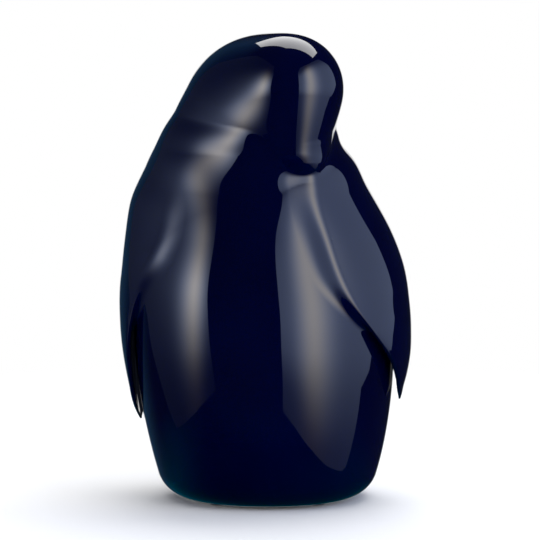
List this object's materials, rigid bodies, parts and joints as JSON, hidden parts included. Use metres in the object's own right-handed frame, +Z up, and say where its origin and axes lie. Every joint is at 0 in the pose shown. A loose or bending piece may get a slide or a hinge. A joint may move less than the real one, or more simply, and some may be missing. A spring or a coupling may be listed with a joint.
{
  "type": "bird figurine",
  "caption": "Glossy dark blue porcelain penguin figurine with a bowed, turned head and wings that hang free at their tips; hollow and closed underneath by a vented disc.",
  "frame": {"origin": "middle of the figurine's outline seen from above, on the surface that its pads stand on", "axes": "+Z up, -Y the way the breast faces, +X to the right of someone facing the breast"},
  "size_m": [0.1258, 0.1104, 0.2009],
  "materials": {
    "glaze_trunk": "mirror-gloss cobalt glaze",
    "glaze_head": "mirror-gloss cobalt glaze",
    "glaze_left_wing": "mirror-gloss cobalt glaze",
    "glaze_right_wing": "mirror-gloss cobalt glaze",
    "bisque": "unglazed, fine matt",
    "felt": "matt pressed felt"
  },
  "bodies": {
    "root": {"trunk_casting": "glaze_trunk", "head_casting": "glaze_head", "left_wing": "glaze_left_wing", "right_wing": "glaze_right_wing", "base_disc": "bisque", "felt_pad_1": "felt", "felt_pad_2": "felt", "felt_pad_3": "felt", "felt_pad_4": "felt"}
  },
  "joints": []
}
